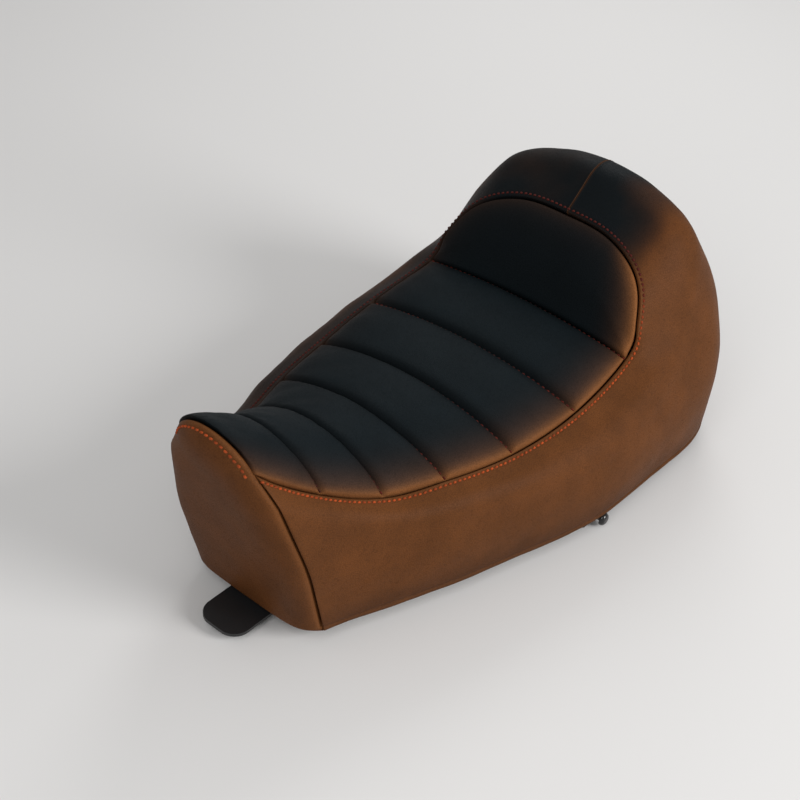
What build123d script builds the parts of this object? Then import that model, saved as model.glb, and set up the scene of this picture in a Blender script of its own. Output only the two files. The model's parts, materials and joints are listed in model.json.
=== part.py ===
"""Solo seat of a cafe racer motorcycle: a ribbed moulded pan, its brackets and feet, and a stitched cover.

X runs to the rear, Y to the rider's right and Z up, all in millimetres. The origin lies between the two
rear bolt holes, on the lower face of the rear bracket, where the seat is bolted down.
"""
import os
from collections import namedtuple

from build123d import *

os.makedirs("parts", exist_ok=True)

# Driving dimensions
LIP_Z = 8.0                  # height of the seat's lower edge above the bracket's lower face
ROLL_RISE = 4.0              # how far a sewn roll stands above the seams beside it
NOSE_THICK = 16.0            # how far the nose panel stands out from the ends of the skirts
TALL = 260.0                 # more than the seat's height, for cutting tools
WIDE = 340.0                 # more than the seat's width

# Moulded pan
PAN_INSET = 4.5              # cover and foam outside the pan's wall at the lower edge
PAN_DRAFT = 9.0              # inward slope of the pan's wall, in degrees
PAN_WALL = 3.2
RIB_FOOT_Z = 21.0
RIB_THICK = 2.4
RIB_SPACING = 56.0
RIBS_ALONG = 5
RIBS_ACROSS = 10
RIM_BROAD = 9.0
RIM_THICK = 2.5
BOSS_RADIUS = 9.0
BOSS_BORE = 2.6
BOSS_DEEP = 12.0
VENT_RADIUS = 5.0
VENTS = [(-270.5, 28.0), (-158.5, 28.0), (-158.5, 84.0), (-46.5, 84.0)]

# Sections of the padded cover at its stitched stations, from the nose round to the rear centre seam.
# seam: x, half width and height of the edge seam between the top and the skirt
# base: x and half width of the lower edge below it
# waist, shoulder: corners of the skirt's profile, out from the lower edge and up along the section
# crown: rise of the channelled top above its edge seams; the bolster behind the backrest has none
Station = namedtuple("Station", "seam base waist shoulder crown")
STATIONS = [
    Station((-446.0, 39.5, 178.0), (-400.0, 67.5), (2.0, 80.0), (-13.0, 150.5), 28.0),
    Station((-391.5, 54.5, 136.0), (-368.0, 78.5), (3.0, 56.0), (-7.0, 115.0), 35.7),
    Station((-340.0, 71.4, 112.0), (-333.0, 92.0), (5.0, 48.0), (-1.0, 96.0), 31.9),
    Station((-287.0, 89.0, 107.5), (-287.0, 108.5), (6.5, 45.0), (4.5, 90.0), 21.5),
    Station((-220.5, 104.0, 103.5), (-220.5, 128.0), (6.5, 43.0), (3.0, 85.0), 19.7),
    Station((-146.0, 111.5, 108.5), (-146.0, 147.0), (5.5, 42.0), (-3.0, 83.0), 13.3),
    Station((-71.5, 107.5, 121.5), (-71.5, 149.5), (6.5, 50.0), (-8.5, 93.0), 8.0),
    Station((-55.0, 103.5, 148.1), (15.0, 148.0), (5.0, 70.0), (-37.5, 117.5), 0.0),
    Station((-42.0, 92.0, 169.1), (46.0, 135.9), (4.0, 95.0), (-47.5, 160.0), 0.0),
    Station((-33.0, 74.0, 183.6), (73.2, 110.0), (6.0, 110.0), (-52.5, 204.0), 0.0),
    Station((-26.0, 42.0, 194.9), (95.5, 60.0), (5.0, 125.0), (-65.5, 226.0), 0.0),
    Station((-24.7, 0.0, 197.0), (97.0, 0.0), (5.0, 135.0), (-69.0, 235.0), 0.0),
]
SHOULDER_ROUND = 34.0
BACK_CROWN = 4.0             # fullness of the backrest panel at its upper seam

# Outline of the lower edge: x, half width, round at that corner
Corner = namedtuple("Corner", "x half round")
OUTLINE = [
    Corner(-414.0, 62.5, 24.0),
    Corner(-256.0, 119.5, 600.0),
    Corner(-143.0, 149.5, 220.0),
    Corner(35.0, 149.5, 75.0),
    Corner(97.0, 84.0, 105.0),
]

# Line of the pan's floor, from front to rear: x and height
FLOOR = [(-416.0, 66.0), (-330.0, 36.0), (112.0, 42.0)]
FLOOR_ROUND = 120.0

# Rear bracket, front tongue, side lugs and feet
PLATE = 3.0
BEND = 5.0
BOLT_SPACING = 60.0
BOLT_RADIUS = 4.25
BRACKET_LONG = 150.0
BRACKET_BROAD = 34.0
BRACKET_EAR_LONG = 20.0
BRACKET_EAR_Z = 16.0
TONGUE_BROAD = 44.0
TONGUE_Z = 15.0
TONGUE_TIP_Z = 1.0
TONGUE_REAR = -300.0
TONGUE_STEP = -352.0
TONGUE_TIP = -450.0
TONGUE_SCREWS = [(-342.0, 0.0), (-312.0, 0.0)]
FOOT_LONG = 30.0
FOOT_BROAD = 20.0
FOOT_HEIGHT = 11.0
FOOT_EDGE = 2.5
FEET = {"front": (-336.0, 55.0), "rear": (-92.0, 118.0)}
LUG_X = -132.0
LUG_Y = 137.3
LUG_BROAD = 26.0
LUG_LOW = -6.0
LUG_TOP = 18.5
LUG_SLACK = 1.0
PLUG_Z = 2.0
PLUG_SHANK = 3.0
PLUG_RADIUS = 6.0
PLUG_HEAD_OUT = 9.0
PLUG_OUT = 13.0
PLUG_EDGE = 2.4


def station_plane(station):
    """Plane of a station: local x points out of the seat at the lower edge, local y up towards the seam."""
    base = Vector(*station.base, LIP_Z)
    seam = Vector(*station.seam)
    sideways = Vector(0, 1, 0)
    outward = sideways if station.crown else Vector(base.X - seam.X, base.Y - seam.Y, 0).normalized()
    climb = seam - base
    upward = climb - outward * climb.dot(outward)
    return Plane(origin=base, x_dir=outward, z_dir=outward.cross(upward))


def seam_in_plane(station):
    """The station's edge seam in its own plane: out from the lower edge, up along the section."""
    local = station_plane(station).to_local_coords(Vector(*station.seam))
    return local.X, local.Y


def outline_wire_points():
    """Corners of the lower edge with their rounds, along the right side and back along the left."""
    right = [(c.x, c.half) for c in OUTLINE]
    left = [(c.x, -c.half) for c in reversed(OUTLINE)]
    rounds = [c.round for c in OUTLINE]
    return right + left, rounds + rounds[::-1]


def pan_block(inset, drop):
    """Solid space inside the seat's lower edge, with drafted walls, under the pan's floor line."""
    points, rounds = outline_wire_points()
    with BuildPart() as block:
        with BuildSketch(Plane.XY.offset(LIP_Z - drop)):
            with BuildLine():
                FilletPolyline(*points, radius=rounds, close=True)
            make_face()
            offset(amount=-inset, mode=Mode.REPLACE)
        extrude(amount=TALL / 2, taper=PAN_DRAFT)
        with BuildSketch(Plane.XZ):
            with BuildLine():
                floor = FilletPolyline(*[(x, z - drop) for x, z in FLOOR], radius=FLOOR_ROUND)
                below = LIP_Z - drop - PLATE
                Polyline(floor @ 1, ((floor @ 1).X, below), ((floor @ 0).X, below), floor @ 0)
            make_face()
        extrude(amount=WIDE / 2, both=True, mode=Mode.INTERSECT)
    return block.part


def padded_section(station, rise=0.0):
    """Face across the padded top at a station: upright sides and one round crown."""
    middle = Plane(
        origin=(station.base[0], 0, LIP_Z), x_dir=(0, 1, 0), z_dir=station_plane(station).z_dir
    )
    half, height = station.seam[1], seam_in_plane(station)[1]
    with BuildSketch(middle) as face:
        with BuildLine():
            Polyline((half, height), (half, 0), (-half, 0), (-half, height))
            ThreePointArc((-half, height), (0, height + station.crown + rise), (half, height))
        make_face()
    return face.sketch


def halfway(front, rear):
    """Station halfway between two others, at the ridge of a roll."""
    def blend(a, b):
        return tuple((p + q) / 2 for p, q in zip(a, b))

    crown = (front.crown + rear.crown) / 2
    return Station(
        blend(front.seam, rear.seam),
        blend(front.base, rear.base),
        blend(front.waist, rear.waist),
        blend(front.shoulder, rear.shoulder),
        crown,
    )


def skirt_section(station):
    """Face of the padded skirt at a station, from the lower edge up to the seam and straight down from it."""
    seam = seam_in_plane(station)
    with BuildSketch(station_plane(station)) as face:
        with BuildLine():
            Line((0, 0), station.waist)
            FilletPolyline(station.waist, station.shoulder, seam, radius=SHOULDER_ROUND)
            Polyline(seam, (seam[0], 0), (0, 0))
        make_face()
    return face.sketch


def write(part, name):
    """Label a finished piece and write its file."""
    part.label = name
    export_step(part, f"parts/{name}.step")


rolls = [station for station in STATIONS if station.crown]
bolster = [station for station in STATIONS if not station.crown]
last_seam = rolls[-1]
pan_outside = pan_block(PAN_INSET, 0.0)
pan_inside = pan_block(PAN_INSET + PAN_WALL, PAN_WALL)

# Channelled top: six padded rolls, sewn edge to edge
with BuildPart() as channel_insert:
    for front, rear in zip(rolls, rolls[1:]):
        add(padded_section(front))
        add(padded_section(halfway(front, rear), ROLL_RISE))
        add(padded_section(rear))
        loft(ruled=True)
    add(pan_outside, mode=Mode.SUBTRACT)
write(channel_insert.part, "channel_insert")

# Smooth backrest panel behind the last seam, rising to the bolster, with its foam down to the pan
rear_centre = bolster[-1].seam
plan_right = [(s.seam[0], s.seam[1]) for s in [last_seam] + bolster]
plan_left = [(x, -y) for x, y in reversed(plan_right[:-1])]
with BuildPart() as back_panel:
    for seam, crown in ((last_seam.seam, last_seam.crown), (rear_centre, BACK_CROWN)):
        with BuildSketch(Plane(origin=(seam[0], 0, 0), x_dir=(0, 1, 0), z_dir=(1, 0, 0))):
            half = last_seam.seam[1]
            height = seam[2]
            with BuildLine():
                Polyline((half, height), (half, LIP_Z), (-half, LIP_Z), (-half, height))
                ThreePointArc((-half, height), (0, height + crown), (half, height))
            make_face()
    loft(ruled=True)
    with BuildSketch():
        with BuildLine():
            Polyline(*plan_right, *plan_left, close=True)
        make_face()
    extrude(amount=TALL, mode=Mode.INTERSECT)
    add(pan_outside, mode=Mode.SUBTRACT)
write(back_panel.part, "back_panel")

# Skirt and bolster: a stitched panel over foam on each side, from the nose to the rear centre seam
with BuildPart() as right_skirt:
    for station in STATIONS:
        add(skirt_section(station))
    loft(ruled=True)
    add(pan_outside, mode=Mode.SUBTRACT)
write(right_skirt.part, "right_skirt")

with BuildPart() as left_skirt:
    mirror(right_skirt.part, about=Plane.XZ)
write(left_skirt.part, "left_skirt")

# Nose panel, closing the front of the seat where it climbs the tank
nose = rolls[0]
nose_seam = seam_in_plane(nose)
nose_middle = station_plane(nose)
nose_middle.origin = (nose.base[0], 0, LIP_Z)
with BuildPart() as nose_panel:
    with BuildSketch(nose_middle):
        with BuildLine():
            half = nose.base[1]
            waist, shoulder, top = [(half + out, up) for out, up in (nose.waist, nose.shoulder, nose_seam)]
            flank = Line((half, 0), waist)
            side = FilletPolyline(waist, shoulder, top, radius=SHOULDER_ROUND)
            mirror((flank, side), about=Plane.YZ)
            ThreePointArc(top, (0, top[1] + nose.crown), (-top[0], top[1]))
            Line((half, 0), (-half, 0))
        make_face()
    extrude(amount=-NOSE_THICK)
    split(bisect_by=Plane.XY.offset(LIP_Z), keep=Keep.TOP)
    add(pan_outside, mode=Mode.SUBTRACT)
write(nose_panel.part, "nose_panel")

# Ribs and screw bosses moulded under the pan's floor
lattice_x = (OUTLINE[0].x + OUTLINE[-1].x) / 2
with BuildPart() as ribs:
    with Locations((lattice_x, 0, TALL / 2)):
        with GridLocations(0, RIB_SPACING, 1, RIBS_ALONG):
            Box(WIDE * 2, RIB_THICK, TALL)
        with GridLocations(RIB_SPACING, 0, RIBS_ACROSS, 1):
            Box(RIB_THICK, WIDE, TALL)
    add(pan_inside, mode=Mode.INTERSECT)
    split(bisect_by=Plane.XY.offset(RIB_FOOT_Z), keep=Keep.TOP)

sides = (("left", -1), ("right", 1))
foot_places = [(x, hand * y) for x, y in FEET.values() for _, hand in sides]
bracket_places = [(0, hand * (BRACKET_LONG - BRACKET_EAR_LONG) / 2) for _, hand in sides]
boss_rows = [
    (FOOT_HEIGHT, foot_places),
    (BRACKET_EAR_Z + PLATE, bracket_places),
    (TONGUE_Z + PLATE, TONGUE_SCREWS),
]
with BuildPart() as bosses:
    for foot_z, places in boss_rows:
        with BuildSketch(Plane.XY.offset(foot_z)):
            with Locations(*places):
                Circle(BOSS_RADIUS)
        extrude(amount=TALL)
    add(pan_inside, mode=Mode.INTERSECT)

# Moulded pan: a thin shell that follows the seat's curve, with a turned-in rim for the cover's edge
rim_points, rim_rounds = outline_wire_points()
vent_places = [(x, hand * y) for x, y in VENTS for _, hand in sides]
with BuildPart() as seat_pan:
    add(pan_outside)
    add(pan_inside, mode=Mode.SUBTRACT)
    add(ribs.part)
    add(bosses.part)
    with BuildSketch(Plane.XY.offset(LIP_Z)):
        with BuildLine():
            FilletPolyline(*rim_points, radius=rim_rounds, close=True)
        make_face()
        offset(amount=-PAN_INSET - PAN_WALL / 2, mode=Mode.REPLACE)
        offset(amount=-RIM_BROAD, mode=Mode.SUBTRACT)
    extrude(amount=RIM_THICK)
    for foot_z, places in boss_rows[1:]:
        with BuildSketch(Plane.XY.offset(foot_z)):
            with Locations(*places):
                Circle(BOSS_BORE)
        extrude(amount=BOSS_DEEP, mode=Mode.SUBTRACT)
    with BuildSketch():
        with Locations(*vent_places):
            Circle(VENT_RADIUS)
    extrude(amount=TALL, mode=Mode.SUBTRACT)
    with BuildSketch(Plane.XY.offset(LIP_Z)):
        with Locations(*[(LUG_X, hand * (LUG_Y - PLATE / 2)) for _, hand in sides]):
            Rectangle(LUG_BROAD + 2 * LUG_SLACK, PLATE + 2 * LUG_SLACK)
    extrude(amount=RIM_THICK, mode=Mode.SUBTRACT)
write(seat_pan.part, "seat_pan")

# Rear bracket: a steel strap under the pan with two raised ears and the two bolt holes
ear = BRACKET_LONG / 2
ear_foot = ear - BRACKET_EAR_LONG
strap_end = ear_foot - BRACKET_EAR_Z + PLATE
with BuildPart() as rear_bracket:
    with BuildSketch(Plane.YZ):
        with BuildLine():
            FilletPolyline(
                (-ear, BRACKET_EAR_Z + PLATE / 2),
                (-ear_foot, BRACKET_EAR_Z + PLATE / 2),
                (-strap_end, PLATE / 2),
                (strap_end, PLATE / 2),
                (ear_foot, BRACKET_EAR_Z + PLATE / 2),
                (ear, BRACKET_EAR_Z + PLATE / 2),
                radius=BEND,
            )
        trace(line_width=PLATE)
    extrude(amount=BRACKET_BROAD / 2, both=True)
    fillet(rear_bracket.edges().filter_by(Axis.Z).group_by(Axis.Y)[0], BEND)
    fillet(rear_bracket.edges().filter_by(Axis.Z).group_by(Axis.Y)[-1], BEND)
    with GridLocations(0, BOLT_SPACING, 1, 2):
        Hole(radius=BOLT_RADIUS)
write(rear_bracket.part, "rear_bracket")

# Front tongue: a steel plate with a joggle that hooks under a cross tube of the frame
with BuildPart() as front_tongue:
    with BuildSketch(Plane.XZ):
        with BuildLine():
            FilletPolyline(
                (TONGUE_REAR, TONGUE_Z + PLATE / 2),
                (TONGUE_STEP, TONGUE_Z + PLATE / 2),
                (TONGUE_STEP - TONGUE_Z, TONGUE_TIP_Z + PLATE / 2),
                (TONGUE_TIP, TONGUE_TIP_Z + PLATE / 2),
                radius=BEND,
            )
        trace(line_width=PLATE)
    extrude(amount=TONGUE_BROAD / 2, both=True)
    fillet(front_tongue.edges().filter_by(Axis.Z).group_by(Axis.X)[0], 3 * BEND)
    fillet(front_tongue.edges().filter_by(Axis.Z).group_by(Axis.X)[-1], BEND)
write(front_tongue.part, "front_tongue")

# Rubber feet that carry the seat on the frame rails
for end, (x, y) in FEET.items():
    for side, hand in sides:
        with BuildPart() as foot:
            with BuildSketch():
                with Locations((x, hand * y)):
                    Rectangle(FOOT_LONG, FOOT_BROAD)
            extrude(amount=FOOT_HEIGHT)
            chamfer(foot.edges().group_by(Axis.Z)[0], FOOT_EDGE)
        write(foot.part, f"{end}_{side}_foot")

# Side lugs: steel tabs inside the pan's wall that reach below the skirt, each with a domed rubber plug
for side, hand in sides:
    face = Plane(origin=(LUG_X, hand * LUG_Y, PLUG_Z), x_dir=(hand, 0, 0), z_dir=(0, -hand, 0))
    with BuildPart() as lug:
        with BuildSketch(face):
            with Locations((0, (LUG_TOP + LUG_LOW) / 2 - PLUG_Z)):
                Rectangle(LUG_BROAD, LUG_TOP - LUG_LOW)
            Circle(PLUG_SHANK, mode=Mode.SUBTRACT)
        extrude(amount=PLATE)
    write(lug.part, f"{side}_side_lug")

    outward = Plane(origin=face.origin, x_dir=face.x_dir, z_dir=(0, hand, 0))
    with BuildPart() as plug:
        for radius, start, end in (
            (PLUG_SHANK, -PLATE, PLUG_HEAD_OUT),
            (PLUG_RADIUS, PLUG_HEAD_OUT, PLUG_OUT),
        ):
            with BuildSketch(outward.offset(start)):
                Circle(radius)
            extrude(amount=end - start)
        chamfer(plug.edges().group_by(Axis.Y)[-1 if hand > 0 else 0], PLUG_EDGE)
    write(plug.part, f"{side}_side_plug")
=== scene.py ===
"""Finishes a cafe racer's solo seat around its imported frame.

The frame brings the moulded pan, its bracket, tongue, lugs, feet and plain solids for the padded cover.
This script sews the leather cover over them, adds thread, staples and screws, and sets up a small studio.
"""

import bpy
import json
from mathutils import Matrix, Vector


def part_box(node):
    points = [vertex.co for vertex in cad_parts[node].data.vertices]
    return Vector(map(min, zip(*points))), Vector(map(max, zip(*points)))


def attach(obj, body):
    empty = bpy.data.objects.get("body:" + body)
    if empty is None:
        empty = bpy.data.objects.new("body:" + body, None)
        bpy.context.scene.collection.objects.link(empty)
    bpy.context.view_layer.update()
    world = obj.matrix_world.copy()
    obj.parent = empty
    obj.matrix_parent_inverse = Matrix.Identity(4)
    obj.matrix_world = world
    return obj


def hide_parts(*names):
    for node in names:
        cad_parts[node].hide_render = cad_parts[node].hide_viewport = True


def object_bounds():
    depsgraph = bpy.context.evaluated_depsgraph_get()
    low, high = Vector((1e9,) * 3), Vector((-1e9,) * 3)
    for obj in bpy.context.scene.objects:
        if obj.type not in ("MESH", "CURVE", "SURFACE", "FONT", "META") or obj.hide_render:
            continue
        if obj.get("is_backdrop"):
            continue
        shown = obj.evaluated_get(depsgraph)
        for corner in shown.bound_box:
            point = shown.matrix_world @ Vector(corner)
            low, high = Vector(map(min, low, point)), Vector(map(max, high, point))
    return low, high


bl_info = {
    "name": "Solo Seat Upholstery",
    "version": (1, 0, 0),
    "blender": (4, 5, 0),
    "location": "View3D > Sidebar > Seat",
    "description": "Sews a channelled leather cover over the frame of a solo seat",
    "category": "Object",
}

import json
import math
from collections import namedtuple

import bmesh
import bpy
import numpy as np
from bpy.props import FloatProperty, FloatVectorProperty
from mathutils import Matrix, Vector, noise
from mathutils.bvhtree import BVHTree

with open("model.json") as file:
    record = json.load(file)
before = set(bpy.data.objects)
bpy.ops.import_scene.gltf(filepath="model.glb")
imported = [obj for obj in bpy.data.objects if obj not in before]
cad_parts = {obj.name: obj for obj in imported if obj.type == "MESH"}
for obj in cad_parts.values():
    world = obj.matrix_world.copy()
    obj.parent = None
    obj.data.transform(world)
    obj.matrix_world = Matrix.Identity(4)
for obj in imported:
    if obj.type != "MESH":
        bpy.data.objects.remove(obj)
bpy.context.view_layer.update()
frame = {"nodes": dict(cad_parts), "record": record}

# Sections of the cover at its stitched stations, from the nose round to the rear centre seam, in metres.
# seam: x, half width and height of the edge seam between the top and the skirt
# base: x and half width of the lower edge below it
# waist, shoulder: corners of the skirt's profile, out from the lower edge and up along the section
# crown: rise of the channelled top above its edge seams; the bolster behind the backrest has none
Station = namedtuple("Station", "seam base waist shoulder crown")
STATIONS = [
    Station((-0.446, 0.0395, 0.178), (-0.400, 0.0675), (0.002, 0.080), (-0.013, 0.1505), 0.028),
    Station((-0.3915, 0.0545, 0.136), (-0.368, 0.0785), (0.003, 0.056), (-0.007, 0.115), 0.0357),
    Station((-0.340, 0.0714, 0.112), (-0.333, 0.092), (0.005, 0.048), (-0.001, 0.096), 0.0319),
    Station((-0.287, 0.089, 0.1075), (-0.287, 0.1085), (0.0065, 0.045), (0.0045, 0.090), 0.0215),
    Station((-0.2205, 0.104, 0.1035), (-0.2205, 0.128), (0.0065, 0.043), (0.003, 0.085), 0.0197),
    Station((-0.146, 0.1115, 0.1085), (-0.146, 0.147), (0.0055, 0.042), (-0.003, 0.083), 0.0133),
    Station((-0.0715, 0.1075, 0.1215), (-0.0715, 0.1495), (0.0065, 0.050), (-0.0085, 0.093), 0.008),
    Station((-0.055, 0.1035, 0.1481), (0.015, 0.148), (0.005, 0.070), (-0.0375, 0.1175), 0.0),
    Station((-0.042, 0.092, 0.1691), (0.046, 0.1359), (0.004, 0.095), (-0.0475, 0.160), 0.0),
    Station((-0.033, 0.074, 0.1836), (0.0732, 0.110), (0.006, 0.110), (-0.0525, 0.204), 0.0),
    Station((-0.026, 0.042, 0.1949), (0.0955, 0.060), (0.005, 0.125), (-0.0655, 0.226), 0.0),
    Station((-0.0247, 0.0, 0.197), (0.097, 0.0), (0.005, 0.135), (-0.069, 0.235), 0.0),
]
ROLLS = sum(1 for station in STATIONS if station.crown) - 1
REAR_CENTRE = len(STATIONS) - 1
MIRROR = np.array((1, -1, 1))
INSIDE = np.array((-0.15, 0.0, 0.03))
LIP_Z = 0.008
WAIST_ROUND = 0.150
SHOULDER_ROUND = 0.034
NOSE_THICK = 0.014
NOSE_ROUND = 0.010
BACKREST_THICK = 0.0075
BACKREST_ROUND = 0.018
LEATHER_THICK = 0.0012
LINING_DEPTH = 0.009
LINING_AT_HEM = 0.0042

# Distance from one point of a panel's mesh to the next, and rows and rings between the turned edges
PANEL_MESH = 0.0032
SKIRT_MESH = 0.0034
HEM_MESH = 0.004
SKIRT_ROWS = 44
TOP_COLUMNS = 64
NOSE_ROWS = 52
INNER_RINGS = 24
RELAX_ROUNDS = 60
FINE_STEPS = 400
# Share of a straight side that the arc at its corner may take, and power that evens out the knots' gaps
CORNER_SHARE = 0.47
KNOT_POWER = 0.8
# Steps to each side of a place, in station numbers and in metres, for the direction of a surface there
STATION_STEP = 0.02
DOWN_STEP = 0.0006
ACROSS_STEP = 0.004
SHEET_STEP = 0.0005

# How a leather edge turns down into a seam: distance from the seam and depth below the panel's face
Turn = namedtuple("Turn", "away deep")
SEWN_EDGE = [
    Turn(0.0005, 0.0060), Turn(0.0006, 0.0040), Turn(0.0009, 0.0023),
    Turn(0.0014, 0.0011), Turn(0.0020, 0.0004), Turn(0.0028, 0.0),
]
TOP_EDGE = SEWN_EDGE + [Turn(away, 0.0) for away in (0.0042, 0.0060, 0.0085)]
PAD_EDGE = SEWN_EDGE + [Turn(away, 0.0) for away in (0.0045, 0.0070, 0.0105)]
# The rear centre seam: tighter, with a slight ridge on each side of it
REAR_EDGE = [
    Turn(0.0, 0.0030), Turn(0.0002, 0.0008), Turn(0.0006, -0.0003),
    Turn(0.0012, -0.0004), Turn(0.0021, -0.0001), Turn(0.0034, 0.0),
]
CHANNEL = [
    Turn(0.0, 0.0034), Turn(0.0007, 0.0031), Turn(0.0015, 0.0021), Turn(0.0027, 0.0009), Turn(0.0046, 0.0),
]
TOP_STITCH_AWAY = 0.0048
TOP_STITCH_ROWS = [Turn(0.0039, 0.0), Turn(TOP_STITCH_AWAY, 0.0004), Turn(0.0057, 0.0), Turn(0.0078, 0.0)]
HEM = [
    Turn(0.0100, 0.0), Turn(0.0075, 0.0), Turn(0.0062, 0.0006), Turn(0.0054, 0.0017),
    Turn(0.0046, 0.0019), Turn(0.0040, 0.0011), Turn(0.0031, 0.0002), Turn(0.0021, 0.0),
    Turn(0.0011, 0.0003), Turn(0.0004, 0.0012), Turn(0.0001, 0.0028),
]
# A point that is deeper than this lies on a turned edge, where nothing swells
TURNED = 0.0003
# How far from a seam two panels still lean into it
SEAM_LEAN = 0.012
# Painted highlight along an edge, in layers of strength, reach and power
TOP_GLOW = [(0.85, 0.0048, 1.5), (0.26, 0.018, 1.6)]
BACKREST_GLOW = [(0.95, 0.0062, 1.5), (0.30, 0.018, 1.6)]
SKIRT_GLOW = [(0.7, 0.0024, 2)]
HEM_GLOW = [(0.25, 0.006, 2)]
REAR_GLOW = [(0.5, 0.0008, 2)]
NOSE_GLOW = [(0.35, 0.0035, 2)]

# A row of the skirt, down from the edge seam by a share of the section's length and a distance more
Row = namedtuple("Row", "share more")
AT_SEAM = Row(0.0, 0.0)
AT_STITCHES = Row(0.0, TOP_STITCH_AWAY)
AT_MIDDLE = Row(0.45, 0.0)
AT_HEM = Row(1.0, 0.0)

# Cloth simulation of the top: a coarse grid, held in its channels and blown up from below
CLOTH_ROWS = 13
CLOTH_COLUMNS = 45
CLOTH_FRAMES = 20
CLOTH_CAP = 0.006
CLOTH_SETTINGS = {
    "quality": 6,
    "mass": 0.4,
    "tension_stiffness": 40,
    "compression_stiffness": 40,
    "shear_stiffness": 15,
    "bending_stiffness": 2.5,
    "air_damping": 4,
    "shrink_min": -0.012,
    "use_pressure": True,
    "uniform_pressure_force": 3.0,
    "vertex_group_mass": "pins",
}
# Shares of the written roll and of the simulated lift in the finished one
WRITTEN_SHARE = 0.8
CLOTH_SHARE = 0.25
# About how long a roll is from channel to channel, and how round it is along and across the seat
ROLL_LENGTH = 0.065
ROLL_ROUND = 0.72
ROLL_END_ROUND = 0.6
# Puckers of one channel lie this far from the next one's in the noise, so that no two are alike
GATHER_STEP = 0.07

# Stitches, as parts of the pitch and of the thread's width, and how far across the top they go
STITCH_LONG = 0.72
STITCH_PLUMP = 1.85
STITCH_LIFT = 0.0003
STITCH_LEAN = 0.16
STITCH_BLUNT = 0.75
STITCH_DIVE = 0.55
CHANNEL_STITCH_PLUMP = 1.25
CHANNEL_PITCH = 1.15
CHANNEL_STITCH_LIFT = 0.0005
STITCHED_ACROSS = 0.985

HEM_OUT = 0.0019
HEM_IN = 0.0098
HEM_LOW = LIP_Z - LEATHER_THICK
# Section of the leather folded under the pan's rim: way in from the seat's edge, height
HEM_SECTION = [
    (HEM_OUT, LIP_Z - 0.0001),
    (HEM_OUT, LIP_Z - 0.0005),
    (HEM_OUT + 0.0002, HEM_LOW + 0.0003),
    (HEM_OUT + 0.0006, HEM_LOW),
    (0.0050, HEM_LOW),
    (0.0074, HEM_LOW + 0.0001),
    (HEM_IN - 0.0004, HEM_LOW),
    (HEM_IN, HEM_LOW + 0.0003),
    (HEM_IN, LIP_Z - 0.0002),
    (0.0050, LIP_Z - 0.0001),
]
STAPLES_IN = 0.0074
STAPLE_PITCH = 0.022
STAPLE_LONG = 0.010
STAPLE_WIRE = 0.0010
STAPLE_LIFT = 0.0001

SCREW_HEAD = 0.0055
SCREW_TALL = 0.0032
WASHER = 0.0075
WASHER_TALL = 0.0012
SOCKET = 0.0024
SOCKET_FLOOR = 0.0012
# Screws under the bracket's ears and the tongue: name, places as x and y, height of the plate's lower face
SCREWS = [
    ("bracket_screws", [(0.0, -0.065), (0.0, 0.065)], 0.016),
    ("tongue_screws", [(-0.342, 0.0), (-0.312, 0.0)], 0.015),
]
PLUG_SHANK = 0.003
PLUG_HEAD = 0.004
PLUG_DOME = 0.0036
SMOOTH_ANGLE = math.radians(35)

LIT_PLACE = Vector((-0.18, 0.0, 0.08))
Lamp = namedtuple("Lamp", "name direction distance size power")
LAMPS = [
    Lamp("key", (0.22, -0.95, 0.5), 2.6, 1.15, 49.0),
    Lamp("fill", (-0.9, -0.35, 0.9), 1.9, 1.2, 9.0),
    Lamp("rim", (0.9, 0.5, 0.8), 1.8, 0.8, 7.0),
]


def smoothstep(low, high, value):
    """0 below low, 1 above high, smooth between them. Takes arrays too."""
    t = np.clip((np.asarray(value, float) - low) / (high - low), 0.0, 1.0)
    return t * t * (3 - 2 * t)


def fading(away, reach, power=2):
    """1 at a seam and less with the distance from it."""
    return np.exp(-(np.asarray(away) / reach) ** power)


def glow(away, layers):
    """Strength of the painted highlight at a distance from an edge."""
    return sum(strength * fading(away, reach, power) for strength, reach, power in layers)


def unit(vectors):
    """Vectors of an array, each scaled to length 1."""
    return vectors / np.maximum(np.linalg.norm(vectors, axis=-1, keepdims=True), 1e-9)


def run_along(line):
    """Distance along a line of points at each of them."""
    return np.concatenate([[0], np.cumsum(np.linalg.norm(np.diff(line, axis=0), axis=1))])


def read_line(at, run, line):
    """Points of a line at places along it, where run says the place of each point it is given by."""
    return np.stack([np.interp(at, run, values) for values in line.T], axis=1)


def spread(line, count):
    """A number of even points along a line, from its start up to its end but without it."""
    run = run_along(line)
    return read_line(np.linspace(0, run[-1], count + 1)[:-1], run, line)


def evenly(line, spacing):
    """Points at a spacing along a line of points, with what is left over shared by its ends."""
    run = run_along(line)
    count = int(run[-1] / spacing)
    return read_line((run[-1] - count * spacing) / 2 + spacing * np.arange(count + 1), run, line)


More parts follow.
